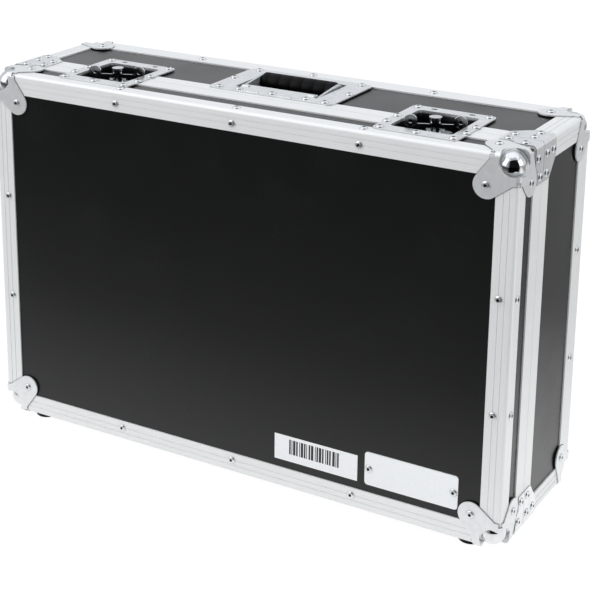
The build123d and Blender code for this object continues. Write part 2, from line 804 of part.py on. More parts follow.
# ---------------------------------------------------------------- hinges
hinge_centres = (-hinge_spacing, 0.0, hinge_spacing)


def hinge_leaf(cx, inward):
    """One hinge leaf with its knuckles; the lid's has the middle knuckle."""
    z0 = z_bottom - hinge_leaf_thickness
    half = hinge_length / 2
    third = hinge_length / 6
    gap = hinge_knuckle_gap / 2
    clear = hinge_barrel_radius + 0.6
    y_near = y_split + inward * clear
    flat = block(cx - half, cx + half, y_near, y_split + inward * hinge_leaf_width, z0, z_bottom)
    corners_out = flat.edges().filter_by(Axis.Z)
    far = [e for e in corners_out if abs(e.center().Y - y_split) > clear + 1]
    flat = fillet(ShapeList(far), 3)
    if inward < 0:
        spans = [(cx - third + gap, cx + third - gap)]
    else:
        spans = [(cx - half, cx - third - gap), (cx + third + gap, cx + half)]
    body = flat
    axis_z = hinge_axis_z
    for a, b in spans:
        body += rod((a, y_split, axis_z), (b, y_split, axis_z), hinge_barrel_radius)
        y_edge = y_split + inward * (clear + 1)
        body += block(a, b, y_split + inward * 0.3, y_edge, z0, z_bottom)
    for a, b in spans:
        body -= rod((a - 1, y_split, axis_z), (b + 1, y_split, axis_z), hinge_pin_radius + running_clearance)
    return body


def hinge_pin(cx):
    """A hinge pin with a shallow head at each end, outside the knuckles."""
    half = hinge_length / 2 + 0.2
    pin = rod((cx - half, y_split, hinge_axis_z), (cx + half, y_split, hinge_axis_z), hinge_pin_radius)
    head = hinge_pin_radius + 0.9
    pin += rod((cx - half - 0.8, y_split, hinge_axis_z), (cx - half, y_split, hinge_axis_z), head)
    return pin + rod((cx + half, y_split, hinge_axis_z), (cx + half + 0.8, y_split, hinge_axis_z), head)


def hinge_rivets():
    """Two rivets through each hinge leaf."""
    set_back = hinge_leaf_width - rivet_head_radius - 1.0
    for cx in hinge_centres:
        for dx in (-hinge_rivet_spread, hinge_rivet_spread):
            for rivets, inward in ((lid_rivets, -1), (base_rivets, 1)):
                rivets.add(
                    (cx + dx, y_split + inward * set_back, z_bottom), FACES["bottom"], hinge_leaf_thickness
                )


def foot(sx, y_face, inward, corner_casting):
    """A round rubber foot, moulded to sit over the bottom wing of its ball corner."""
    x = sx * (half_w - foot_inset_x)
    y = y_face + inward * foot_inset_y
    body = Pos(x, y, 0) * Cylinder(foot_radius, foot_height, align=(Align.CENTER, Align.CENTER, Align.MIN))
    body = fillet(body.edges().sort_by(Axis.Z)[0], foot_edge)
    rivet_x = sx * (half_w - corner_tab_inset)
    rivet_y = y_face + inward * corner_tab_depth
    relief_low = z_bottom - wing_thickness - rivet_head_height - 0.2
    body -= rod((rivet_x, rivet_y, relief_low), (rivet_x, rivet_y, z_bottom), rivet_head_radius + 0.3)
    return body - corner_casting - rod((x, y, -1), (x, y, foot_height * 0.6), foot_screw_radius + 1.5)


# ---------------------------------------------------------------- rivets are set out first
edging_rivets(lid_rivets, y_front, 1, lid_leg_rivet_inset)
edging_rivets(base_rivets, y_back, -1, base_leg_rivet_inset)
lid_balls, lid_braces = place_corner_hardware(lid_rivets, y_front, 1)
base_balls, base_braces = place_corner_hardware(base_rivets, y_back, -1)
for centre_x in latch_centres.values():
    latch_rivets(centre_x)
handle_rivets()
name_plate_rivets()
hinge_rivets()

# ---------------------------------------------------------------- walls and panels
inner_w = half_w - shell_inset
laminate_w = half_w - edging_thickness
laminate_top = z_top - edging_thickness
laminate_bottom = z_bottom + edging_thickness
inner_top = z_top - shell_inset
inner_bottom = z_bottom + shell_inset


def wall_set(y0, y1):
    """Top and bottom walls run full width; the side walls stand between them."""
    return {
        "top": block(-laminate_w, laminate_w, y0, y1, inner_top, laminate_top),
        "bottom": block(-laminate_w, laminate_w, y0, y1, laminate_bottom, inner_bottom),
        "left": block(-laminate_w, -inner_w, y0, y1, inner_bottom, inner_top),
        "right": block(inner_w, laminate_w, y0, y1, inner_bottom, inner_top),
    }


def near_holes(solid, holes):
    """The cutters whose boxes meet this solid's box."""
    box = solid.bounding_box()
    chosen = []
    for hole in holes:
        hb = hole.bounding_box()
        apart = (
            hb.min.X > box.max.X or hb.max.X < box.min.X
            or hb.min.Y > box.max.Y or hb.max.Y < box.min.Y
            or hb.min.Z > box.max.Z or hb.max.Z < box.min.Z
        )
        if not apart:
            chosen.append(hole)
    return chosen


def relieved(solid, cutters):
    """The solid without the cutters that reach it."""
    near = near_holes(solid, cutters)
    return solid - near if near else solid


def drilled(solid, rivets):
    """The solid with the rivets' holes drilled through it."""
    return relieved(solid, rivets.holes)


lid_wall_end = y_split - closure_gap / 2 - closure_lid_web
base_wall_start = y_split + closure_gap / 2 + closure_base_web
parts = {}


def add_half(prefix, rivets, walls, edging, closure, panel_y, y_face, inward):
    """Walls, panel, edging and closures of one half, cut at its corners and drilled for its rivets."""
    cutters = [cutter for sx, sz in corners for cutter in corner_cutters(sx, y_face, inward, sz)]
    for side, solid in walls.items():
        if side == "top":
            for cx in latch_centres.values():
                solid -= latch_cutout(cx, -case_depth, case_depth)
            if prefix == "base":
                solid -= handle_cutout(0)
        parts[f"{prefix}_wall_{side}"] = drilled(relieved(solid, cutters), rivets)
    panel = block(-inner_w, inner_w, *panel_y, inner_bottom, inner_top)
    parts[f"{prefix}_panel"] = drilled(relieved(panel, cutters), rivets)
    for side, solid in edging.items():
        parts[f"{prefix}_edging_{side}"] = drilled(relieved(solid, cutters), rivets)
    for side, solid in closure.items():
        if side == "top":
            for cx in latch_centres.values():
                solid -= latch_cutout(cx, -case_depth, case_depth)
        parts[f"{prefix}_closure_{side}"] = drilled(relieved(solid, cutters), rivets)


def handle_cutout(grow):
    """The space that the handle's pan needs."""
    c = cutout_clearance + plate_thickness + grow
    hx = handle_recess_half + c
    y0 = handle_y + handle_recess_front - c
    y1 = handle_y + handle_recess_back + c
    return block(
        hardware_centre - hx, hardware_centre + hx, y0, y1, z_top - handle_recess_depth - c, z_top + 10
    )


add_half(
    "lid", lid_rivets, wall_set(y_front + edging_thickness, lid_wall_end),
    edging_frame(y_front, y_front + lid_side_leg, lid_side_leg),
    closure_frame(-1, closure_lid_flange, closure_lid_web, "tongue"),
    (y_front + edging_thickness, y_front + shell_inset), y_front, 1,
)
add_half(
    "base", base_rivets, wall_set(base_wall_start, y_back - edging_thickness),
    edging_frame(y_back, y_back - base_side_leg, base_side_leg),
    closure_frame(1, closure_base_flange, closure_base_web, "groove"),
    (y_back - shell_inset, y_back - edging_thickness), y_back, -1,
)


def depth_angle(sx, sz):
    """An angle along a depth edge of the base, between the closure and the rear edging."""
    y0 = y_split + closure_gap / 2 + closure_base_flange
    y1 = y_back - base_side_leg
    x_edge = sx * half_w
    z_edge = z_mid + sz * case_height / 2
    leg = edging_face_leg
    bar = block(x_edge, x_edge - sx * leg, y0, y1, z_edge, z_edge - sz * leg)
    bar = fillet(depth_edge(bar, x_edge, z_edge), edging_radius)
    t = edging_thickness
    bar -= block(x_edge - sx * t, x_edge - sx * 60, y0 - 1, y1 + 1, z_edge - sz * t, z_edge - sz * 60)
    for inset in groove_insets:
        far = inset + groove_width
        x_floor = x_edge - sx * groove_depth
        z_floor = z_edge - sz * groove_depth
        bar -= block(x_edge - sx * inset, x_edge - sx * far, y0 - 1, y1 + 1, z_edge + sz, z_floor)
        bar -= block(x_edge + sx, x_floor, y0 - 1, y1 + 1, z_edge - sz * inset, z_edge - sz * far)
    return drilled(bar, base_rivets)


parts["base_edge_angles"] = [depth_angle(sx, sz) for sx, sz in corners]
parts["lid_ball_corners"] = [drilled(ball, lid_rivets) for ball in lid_balls]
parts["base_ball_corners"] = [drilled(ball, base_rivets) for ball in base_balls]
parts["lid_corner_braces"] = [drilled(b, lid_rivets) for b in lid_braces]
parts["base_corner_braces"] = [drilled(b, base_rivets) for b in base_braces]

# ---------------------------------------------------------------- foam


def foam_walls(y0, y1, pockets):
    """Four foam pads on the inside of the walls."""
    w = inner_w
    t = foam_thickness
    pads = [
        block(-w, w, y0, y1, inner_top - t, inner_top),
        block(-w, w, y0, y1, inner_bottom, inner_bottom + t),
        block(-w, -w + t, y0, y1, inner_bottom + t, inner_top - t),
        block(w - t, w, y0, y1, inner_bottom + t, inner_top - t),
    ]
    for pocket in pockets:
        pads[0] -= pocket
    return pads


lid_floor = y_front + shell_inset
base_floor = y_back - shell_inset
lid_foam_edge = y_split - closure_gap / 2 - closure_inner_flange - foam_split_gap
base_foam_edge = y_split + closure_gap / 2 + closure_inner_flange + foam_split_gap
pockets = []
for centre_x in latch_centres.values():
    pocket = latch_cutout(centre_x, -case_depth, case_depth)
    box = pocket.bounding_box()
    pockets.append(
        block(
            box.min.X - foam_clearance, box.max.X + foam_clearance, box.min.Y - foam_clearance,
            box.max.Y + foam_clearance, z_top - 60, z_top,
        )
    )
handle_box = handle_cutout(foam_clearance).bounding_box()
handle_pocket = block(
    handle_box.min.X, handle_box.max.X, handle_box.min.Y, handle_box.max.Y, z_top - 60, z_top
)
parts["lid_foam_panel"] = block(
    -inner_w, inner_w, lid_floor, lid_floor + foam_thickness, inner_bottom, inner_top
)
parts["lid_foam_walls"] = foam_walls(lid_floor + foam_thickness, lid_foam_edge, pockets)
parts["base_foam_panel"] = block(
    -inner_w, inner_w, base_floor - foam_thickness, base_floor, inner_bottom, inner_top
)
parts["base_foam_walls"] = foam_walls(
    base_foam_edge, base_floor - foam_thickness, pockets + [handle_pocket]
)

# ---------------------------------------------------------------- latches, handle, hinges
for name, centre_x in latch_centres.items():
    dish = latch_dish(centre_x)
    lid_half = block(-case_width, case_width, -case_depth, y_split - closure_gap / 2, z_bottom, z_top + 50)
    base_half = block(-case_width, case_width, y_split + closure_gap / 2, case_depth, z_bottom, z_top + 50)
    parts[f"{name}_keeper_dish"] = drilled((dish & lid_half) + keeper_lip(centre_x), lid_rivets)
    parts[f"{name}_latch_dish"] = drilled(dish & base_half, base_rivets)
    parts[f"{name}_spindle"] = spindle(centre_x)
    parts[f"{name}_wing"] = wing(centre_x)
    parts[f"{name}_hook"] = hook(centre_x)

parts["handle_dish"] = drilled(handle_dish(), base_rivets)
parts["handle_bail"] = bail()
parts["handle_grip"] = grip()
parts["handle_spring"] = return_spring()
parts["lid_hinge_leaves"] = [drilled(hinge_leaf(cx, -1), lid_rivets) for cx in hinge_centres]
parts["base_hinge_leaves"] = [drilled(hinge_leaf(cx, 1), base_rivets) for cx in hinge_centres]
parts["hinge_pins"] = [hinge_pin(cx) for cx in hinge_centres]

# ---------------------------------------------------------------- feet, plate and label
lid_bottom_balls = {sx: ball for (sx, sz), ball in zip(corners, lid_balls) if sz < 0}
base_bottom_balls = {sx: ball for (sx, sz), ball in zip(corners, base_balls) if sz < 0}
parts["lid_feet"] = [foot(sx, y_front, 1, ball) for sx, ball in lid_bottom_balls.items()]
parts["base_feet"] = [foot(sx, y_back, -1, ball) for sx, ball in base_bottom_balls.items()]

laminate_front = y_front + edging_thickness
plate_blank = block(
    name_plate_x - name_plate_width / 2, name_plate_x + name_plate_width / 2,
    laminate_front - name_plate_thickness, laminate_front,
    z_bottom + name_plate_z - name_plate_height / 2, z_bottom + name_plate_z + name_plate_height / 2,
)
plate_blank = fillet(plate_blank.edges().filter_by(Axis.Y), name_plate_radius)
parts["name_plate"] = drilled(plate_blank, lid_rivets)
label = block(
    label_x - label_width / 2, label_x + label_width / 2, laminate_front - label_thickness, laminate_front,
    z_bottom + label_z - label_height / 2, z_bottom + label_z + label_height / 2,
)
parts["paper_label"] = label

parts["lid_rivets"] = lid_rivets.solids
parts["base_rivets"] = base_rivets.solids

# ---------------------------------------------------------------- written out
os.makedirs("parts", exist_ok=True)
for node, shape in parts.items():
    solids = []
    for item in shape if isinstance(shape, list) else [shape]:
        solids += list(item.solids())
    whole = solids[0] if len(solids) == 1 else Compound(children=solids)
    export_step(whole, f"parts/{node}.step")
print(len(parts), "nodes")
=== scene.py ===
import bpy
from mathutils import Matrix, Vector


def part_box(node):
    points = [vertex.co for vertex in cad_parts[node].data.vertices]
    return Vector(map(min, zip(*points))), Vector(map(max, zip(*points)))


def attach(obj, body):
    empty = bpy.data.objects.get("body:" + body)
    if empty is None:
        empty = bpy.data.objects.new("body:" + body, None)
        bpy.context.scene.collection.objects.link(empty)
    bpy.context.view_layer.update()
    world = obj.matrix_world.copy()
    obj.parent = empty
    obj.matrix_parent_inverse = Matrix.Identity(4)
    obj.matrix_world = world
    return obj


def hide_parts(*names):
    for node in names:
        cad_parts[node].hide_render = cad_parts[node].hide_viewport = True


bl_info = {
    "name": "Pedal Case Dresser",
    "version": (1, 0, 0),
    "blender": (4, 5, 0),
    "location": "3D View > Sidebar > Pedal Case",
    "description": "Dresses a pedal case: laminate, extrusions, castings, rivets, latches, handle and stage",
    "category": "Add Mesh",
}

import math

import bmesh
import bpy
from mathutils import Matrix, Vector

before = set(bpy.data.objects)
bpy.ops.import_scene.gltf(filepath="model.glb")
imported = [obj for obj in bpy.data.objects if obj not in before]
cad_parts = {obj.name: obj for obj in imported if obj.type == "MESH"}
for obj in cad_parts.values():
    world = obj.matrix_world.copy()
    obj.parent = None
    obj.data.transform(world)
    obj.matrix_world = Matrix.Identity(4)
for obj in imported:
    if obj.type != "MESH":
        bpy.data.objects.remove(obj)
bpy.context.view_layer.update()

MM = 0.001
HALVES = ("lid", "base")
SIDES = ("top", "bottom", "left", "right")
LATCHES = ("left", "right")

# the case's own planes: its handle side, its underside, its right side and its back
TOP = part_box("base_edging_top")[1].z
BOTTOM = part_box("base_edging_bottom")[0].z
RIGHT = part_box("base_edging_right")[1].x
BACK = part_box("base_edging_right")[1].y

# points of a mesh closer than this are one point
WELD = 1e-6
# painted shade, and the dull sheen of dust on the laminate, gather this close to a crevice
CREVICE_REACH = 2.5 * MM
# the colour of the painted shade in crevices
CREVICE_SHADE = "#17191a"
# in reflections the studio shows one painted dark bay, 40 degrees to the right of straight ahead of the lid
DARK_BAY = (0.643, -0.766, 0)


# ------------------------------------------------------------------ colour and node helpers
def hex_colour(code):
    """An sRGB hex code as the linear colour that a shader wants."""
    code = code.lstrip("#")
    out = []
    for i in (0, 2, 4):
        value = int(code[i:i + 2], 16) / 255
        out.append(value / 12.92 if value <= 0.04045 else ((value + 0.055) / 1.055) ** 2.4)
    return (*out, 1.0)


def add(tree, kind, inputs=None, links=None, **settings):
    """Adds one node with its settings, socket values and links.

    A socket goes by its name, or by its number where several sockets of a node share one name.
    """
    node = tree.nodes.new(kind)
    for key, value in settings.items():
        setattr(node, key, value)
    for key, value in (inputs or {}).items():
        node.inputs[key].default_value = value
    for key, socket in (links or {}).items():
        tree.links.new(socket, node.inputs[key])
    return node


def new_material(name):
    """An empty node material and its tree."""
    mat = bpy.data.materials.new(name)
    mat.use_nodes = True
    mat.node_tree.nodes.clear()
    return mat, mat.node_tree


def ramp(tree, socket, stops):
    """A colour ramp's colour, from stops given as (place, hex colour or grey)."""
    node = add(tree, "ShaderNodeValToRGB", links={"Fac": socket})
    elements = node.color_ramp.elements
    while len(elements) > 1:
        elements.remove(elements[-1])
    for index, (place, colour) in enumerate(stops):
        element = elements[0] if index == 0 else elements.new(place)
        element.position = place
        element.color = hex_colour(colour) if isinstance(colour, str) else (colour, colour, colour, 1)
    return node.outputs["Color"]


def openness(tree, closed=0.30, clear=0.80):
    """How open a spot is: 0 in a crevice, where painted shade and dust gather, and 1 in the clear."""
    hollow = add(tree, "ShaderNodeAmbientOcclusion", {"Distance": CREVICE_REACH}, samples=8)
    return ramp(tree, hollow.outputs["AO"], [(closed, 0.0), (clear, 1.0)])


def crevice_shaded(tree, colour, clear, shade_colour=CREVICE_SHADE):
    """A colour darkened towards the shade colour, as painted shade, where plates, rivets and edges meet."""
    return add(tree, "ShaderNodeMix", {6: hex_colour(shade_colour)}, {0: clear, 7: colour},
               data_type="RGBA").outputs[2]


def blended(tree, one, other, blend):
    """Two colours blended in full by one blend type, such as MULTIPLY or LIGHTEN."""
    return add(tree, "ShaderNodeMix", {0: 1.0}, {6: one, 7: other}, data_type="RGBA",
               blend_type=blend).outputs[2]


def dark_bay(tree, socket):
    """How far a direction's compass bearing is from the painted dark bay of the reflections: 0 in its middle,
    1 opposite.
    """
    flat = add(tree, "ShaderNodeVectorMath", {1: (1, 1, 0)}, {0: socket}, operation="MULTIPLY")
    bearing = add(tree, "ShaderNodeVectorMath", links={0: flat.outputs["Vector"]}, operation="NORMALIZE")
    off = add(tree, "ShaderNodeVectorMath", {1: DARK_BAY}, {0: bearing.outputs["Vector"]},
              operation="DISTANCE")
    return add(tree, "ShaderNodeMath", {1: 0.5}, {0: off.outputs["Value"]},
               operation="MULTIPLY").outputs["Value"]


# ------------------------------------------------------------------ finishes
def phenolic_laminate(props):
    """Phenolic laminate on plywood, pressed against a fine textured caul: black, with a dull sheen."""
    mat, tree = new_material("black_phenolic_laminate")
    # the caul leaves fine pebbles; rubbing and dust change the sheen over a hand's breadth
    pebble_size = 0.7 * MM
    pebble_height = 0.05 * MM
    wear_size = 60 * MM
    place = add(tree, "ShaderNodeTexCoord").outputs["Object"]
    pebble = add(tree, "ShaderNodeTexNoise", {"Scale": 1 / pebble_size, "Detail": 2.0, "Roughness": 0.6},
                 {"Vector": place}).outputs["Fac"]
    wear = add(tree, "ShaderNodeTexNoise", {"Scale": 1 / wear_size, "Detail": 3.0},
               {"Vector": place}).outputs["Fac"]
    sheen = ramp(tree, wear, [(0.3, props.laminate_roughness - 0.03), (0.7, props.laminate_roughness + 0.05)])
    tint = ramp(tree, pebble, [(0.3, "#070808"), (0.75, "#0f1011")])
    bump = add(tree, "ShaderNodeBump", {"Strength": 0.10, "Distance": pebble_height}, {"Height": pebble})
    # along the metal the sheen is lost in dust
    dull = add(tree, "ShaderNodeMix", {2: 0.95}, {0: openness(tree), 3: sheen}, data_type="FLOAT")
    shader = add(tree, "ShaderNodeBsdfPrincipled", {"IOR": 1.5},
                 {"Base Color": tint, "Roughness": dull.outputs[0], "Normal": bump.outputs["Normal"]})
    add(tree, "ShaderNodeOutputMaterial", links={"Surface": shader.outputs["BSDF"]})
    return mat


def anodised_aluminium(props, along):
    """Clear anodised aluminium extrusion: satin, with fine die lines that run along its length."""
    mat, tree = new_material(f"anodised_aluminium_along_{along}")
    line_spacing = 0.4 * MM
    line_length = 400 * MM
    line_depth = 0.02 * MM
    bloom_size = 45 * MM
    place = add(tree, "ShaderNodeTexCoord").outputs["Object"]
    scale = [1 / line_length if axis == along else 1 / line_spacing for axis in "xyz"]
    stretch = add(tree, "ShaderNodeMapping", {"Scale": scale}, {"Vector": place})
    lines = add(tree, "ShaderNodeTexNoise", {"Scale": 1.0, "Detail": 2.0},
                {"Vector": stretch.outputs["Vector"]}).outputs["Fac"]
    bloom = add(tree, "ShaderNodeTexNoise", {"Scale": 1 / bloom_size, "Detail": 4.0},
                {"Vector": place}).outputs["Fac"]
    rough = ramp(tree, bloom, [(0.3, props.aluminium_roughness - 0.04),
                               (0.75, props.aluminium_roughness + 0.06)])
    tone = ramp(tree, lines, [(0.3, "#e8e9e9"), (0.7, "#edeeee")])
    bump = add(tree, "ShaderNodeBump", {"Strength": 0.04, "Distance": line_depth}, {"Height": lines})
    # the anodised skin scatters much of the light, so the metal is only partly mirror-like
    # in crevices, round wings, plates and die grooves, the tone takes a lighter painted shade
    shader = add(tree, "ShaderNodeBsdfPrincipled", {"Metallic": 0.36},
                 {"Base Color": crevice_shaded(tree, tone, openness(tree, closed=0.10, clear=0.42), shade_colour="#4c4e50"),
                  "Roughness": rough, "Normal": bump.outputs["Normal"]})
    add(tree, "ShaderNodeOutputMaterial", links={"Surface": shader.outputs["BSDF"]})
    return mat


def zinc_plate(name, tones=("#e4e6e8", "#f1f3f4"), rough=0.22, metal=0.75, pan=False):
    """Bright zinc plating on pressed steel: pale and a little cloudy, and darkened by painted shade down
    inside a pan and in crevices.
    """
    mat, tree = new_material(name)
    cloud_size = 9 * MM
    press_mark_size = 1.2 * MM
    press_mark_depth = 0.05 * MM
    # in a pan the colour darkens, as painted shade, between these depths below the case's top
    shade_start = 0.5 * MM
    shade_end = 6 * MM
    place = add(tree, "ShaderNodeTexCoord").outputs["Object"]
    cloud = add(tree, "ShaderNodeTexNoise", {"Scale": 1 / cloud_size, "Detail": 4.0},
                {"Vector": place}).outputs["Fac"]
    mark = add(tree, "ShaderNodeTexNoise", {"Scale": 1 / press_mark_size, "Detail": 1.0}, {"Vector": place})
    colour = ramp(tree, cloud, [(0.3, tones[0]), (0.7, tones[1])])
    dull = ramp(tree, cloud, [(0.25, rough + 0.07), (0.7, rough - 0.03)])
    bump = add(tree, "ShaderNodeBump", {"Strength": 0.08, "Distance": press_mark_depth},
               {"Height": mark.outputs["Fac"]})
    if pan:
        height = add(tree, "ShaderNodeSeparateXYZ", links={0: place})
        depth = add(tree, "ShaderNodeMapRange", {"From Min": TOP - shade_end, "From Max": TOP - shade_start},
                    {"Value": height.outputs["Z"]})
        # painted shade: darker towards the pan's floor
        pan_shade = ramp(tree, depth.outputs["Result"], [(0.0, "#1b1d1e"), (0.70, "#3f4244"), (1.0, "#ffffff")])
        colour = blended(tree, colour, pan_shade, "MULTIPLY")
    # in crevices the colour takes painted shade as well
    shader = add(tree, "ShaderNodeBsdfPrincipled", {"Metallic": metal},
                 {"Base Color": crevice_shaded(tree, colour, openness(tree)), "Roughness": dull,
                  "Normal": bump.outputs["Normal"]})
    add(tree, "ShaderNodeOutputMaterial", links={"Surface": shader.outputs["BSDF"]})
    return mat


def corner_casting():
    """Nickel plated steel corner: its ball is polished to a mirror, its wings are left satin."""
    mat, tree = new_material("nickel_corner")
    # each ball's centre lies this far in from the three faces of its corner
    ball_inset = 13.0 * MM
    # the polish ends, and the satin starts, just past the ball's radius
    polish_end = 13.5 * MM
    satin_start = 13.7 * MM
    cloud_size = 6 * MM
    cloud_depth = 0.04 * MM
    place = add(tree, "ShaderNodeTexCoord").outputs["Object"]
    # the corners mirror each other, so one distance from the folded place serves them all
    centred = add(tree, "ShaderNodeVectorMath", {1: (0, 0, (BOTTOM + TOP) / 2)}, {0: place},
                  operation="SUBTRACT")
    folded = add(tree, "ShaderNodeVectorMath", links={0: centred.outputs["Vector"]}, operation="ABSOLUTE")
    ball = (RIGHT - ball_inset, BACK - ball_inset, (TOP - BOTTOM) / 2 - ball_inset)
    away = add(tree, "ShaderNodeVectorMath", {1: ball}, {0: folded.outputs["Vector"]}, operation="DISTANCE")
    satin = add(tree, "ShaderNodeMapRange", {"From Min": polish_end, "From Max": satin_start},
                {"Value": away.outputs["Value"]}).outputs["Result"]
    rough = add(tree, "ShaderNodeMapRange", {"To Min": 0.05, "To Max": 0.34}, {"Value": satin})
    metal = add(tree, "ShaderNodeMapRange", {"To Min": 1.0, "To Max": 0.55}, {"Value": satin})
    cloud = add(tree, "ShaderNodeTexNoise", {"Scale": 1 / cloud_size, "Detail": 3.0},
                {"Vector": place}).outputs["Fac"]
    tone = ramp(tree, cloud, [(0.3, "#e3e5e6"), (0.7, "#eceeef")])
    bump = add(tree, "ShaderNodeBump", {"Strength": 0.02, "Distance": cloud_depth}, {"Height": cloud})
    # in crevices, along the wings' edges, the tone takes painted shade
    shader = add(tree, "ShaderNodeBsdfPrincipled",
                 links={"Base Color": crevice_shaded(tree, tone, openness(tree)),
                        "Roughness": rough.outputs["Result"], "Metallic": metal.outputs["Result"],
                        "Normal": bump.outputs["Normal"]})
    add(tree, "ShaderNodeOutputMaterial", links={"Surface": shader.outputs["BSDF"]})
    return mat


def moulded_rubber():
    """Black moulded rubber: soft sheen from a spark-eroded mould."""
    mat, tree = new_material("moulded_black_rubber")
    grain_size = 0.5 * MM
    grain_height = 0.08 * MM
    place = add(tree, "ShaderNodeTexCoord").outputs["Object"]
    grain = add(tree, "ShaderNodeTexNoise", {"Scale": 1 / grain_size, "Detail": 2.0},
                {"Vector": place}).outputs["Fac"]
    tone = ramp(tree, grain, [(0.3, "#040405"), (0.7, "#080809")])
    dull = ramp(tree, grain, [(0.3, 0.40), (0.7, 0.52)])
    bump = add(tree, "ShaderNodeBump", {"Strength": 0.25, "Distance": grain_height}, {"Height": grain})
    shader = add(tree, "ShaderNodeBsdfPrincipled", {"IOR": 1.45, "Specular IOR Level": 0.14},
                 {"Base Color": tone, "Roughness": dull, "Normal": bump.outputs["Normal"]})
    add(tree, "ShaderNodeOutputMaterial", links={"Surface": shader.outputs["BSDF"]})
    return mat


def closed_cell_foam():
    """Closed-cell foam sheet: dark grey, wholly matt, with open skin cells."""
    mat, tree = new_material("closed_cell_foam")
    # drawn a little coarser than real cells, so that they show
    cell_size = 1.6 * MM
    cell_depth = 0.4 * MM
    patch_size = 40 * MM
    place = add(tree, "ShaderNodeTexCoord").outputs["Object"]
    cells = add(tree, "ShaderNodeTexVoronoi", {"Scale": 1 / cell_size}, {"Vector": place})
    patches = add(tree, "ShaderNodeTexNoise", {"Scale": 1 / patch_size, "Detail": 3.0}, {"Vector": place})
    tone = ramp(tree, patches.outputs["Fac"], [(0.3, "#232426"), (0.7, "#2e2f31")])
    bump = add(tree, "ShaderNodeBump", {"Strength": 0.6, "Distance": cell_depth},
               {"Height": cells.outputs["Distance"]})
    shader = add(tree, "ShaderNodeBsdfPrincipled", {"Roughness": 0.95},
                 {"Base Color": tone, "Normal": bump.outputs["Normal"]})
    add(tree, "ShaderNodeOutputMaterial", links={"Surface": shader.outputs["BSDF"]})
    return mat


def pale_coating(name, tones, rough):
    """Coated paper or painted plate: pale, with a faint fibre or orange-peel mottle."""
    mat, tree = new_material(name)
    mottle_size = 1.5 * MM
    mottle_height = 0.03 * MM
    place = add(tree, "ShaderNodeTexCoord").outputs["Object"]
    mottle = add(tree, "ShaderNodeTexNoise", {"Scale": 1 / mottle_size, "Detail": 3.0},
                 {"Vector": place}).outputs["Fac"]
    tone = ramp(tree, mottle, [(0.3, tones[0]), (0.7, tones[1])])
    dull = ramp(tree, mottle, [(0.3, rough), (0.7, rough + 0.08)])
    bump = add(tree, "ShaderNodeBump", {"Strength": 0.05, "Distance": mottle_height}, {"Height": mottle})
    shader = add(tree, "ShaderNodeBsdfPrincipled",
                 links={"Base Color": tone, "Roughness": dull, "Normal": bump.outputs["Normal"]})
    add(tree, "ShaderNodeOutputMaterial", links={"Surface": shader.outputs["BSDF"]})
    return mat


def printing_ink(props):
    """Ink printed on paper: one flat dark colour, with the paper's grain in its sheen."""
    mat, tree = new_material("printing_ink")
    grain_size = 0.8 * MM
    place = add(tree, "ShaderNodeTexCoord").outputs["Object"]
    grain = add(tree, "ShaderNodeTexNoise", {"Scale": 1 / grain_size}, {"Vector": place})
    dull = ramp(tree, grain.outputs["Fac"], [(0.3, 0.45), (0.7, 0.55)])
    shader = add(tree, "ShaderNodeBsdfPrincipled", {"Base Color": tuple(props.label_bar_colour)},
                 {"Roughness": dull})
    add(tree, "ShaderNodeOutputMaterial", links={"Surface": shader.outputs["BSDF"]})
    return mat


def dress(node, material):
    """Gives a CAD node one finish."""
    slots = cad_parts[node].data.materials
    slots.clear()
    slots.append(material)


# ------------------------------------------------------------------ mesh helpers
def spin_outline(bm, outline, steps):
    """Turns a half outline of (radius, height) points in mm round Z."""
    verts = [bm.verts.new((radius * MM, 0, height * MM)) for radius, height in outline]
    edges = [bm.edges.new(pair) for pair in zip(verts, verts[1:])]
    bmesh.ops.spin(bm, geom=verts + edges, cent=(0, 0, 0), axis=(0, 0, 1), angle=2 * math.pi,
                   steps=steps, use_merge=True)


def stamp(bm, outline, places, steps):
    """Adds one turned shape to a bmesh at each place, given as a matrix."""
    for place in places:
        turned = bmesh.new()
        spin_outline(turned, outline, steps)
        bmesh.ops.transform(turned, matrix=place, verts=turned.verts)
        held = bpy.data.meshes.new("turned")
        turned.to_mesh(held)
        turned.free()
        bm.from_mesh(held)
        bpy.data.meshes.remove(held)


def finish_mesh(bm, name, material, body, replaces=(), smooth=40):
    """Cleans a bmesh, makes its object at the origin, and rides it on its body."""
    bmesh.ops.remove_doubles(bm, verts=bm.verts, dist=WELD)
    bmesh.ops.recalc_face_normals(bm, faces=bm.faces)
    mesh = bpy.data.meshes.new(name)
    bm.to_mesh(mesh)
    bm.free()
    mesh.materials.append(material)
    mesh.shade_smooth()
    mesh.set_sharp_from_angle(angle=math.radians(smooth))
    obj = bpy.data.objects.new(name, mesh)
    bpy.context.scene.collection.objects.link(obj)
    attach(obj, body)
    if replaces:
        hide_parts(*replaces)


def box_at(bm, low, high):
    """A box between two corners."""
    verts = bmesh.ops.create_cube(bm, size=1)["verts"]
    bmesh.ops.scale(bm, vec=[b - a for a, b in zip(low, high)], verts=verts)
    bmesh.ops.translate(bm, vec=[(a + b) / 2 for a, b in zip(low, high)], verts=verts)


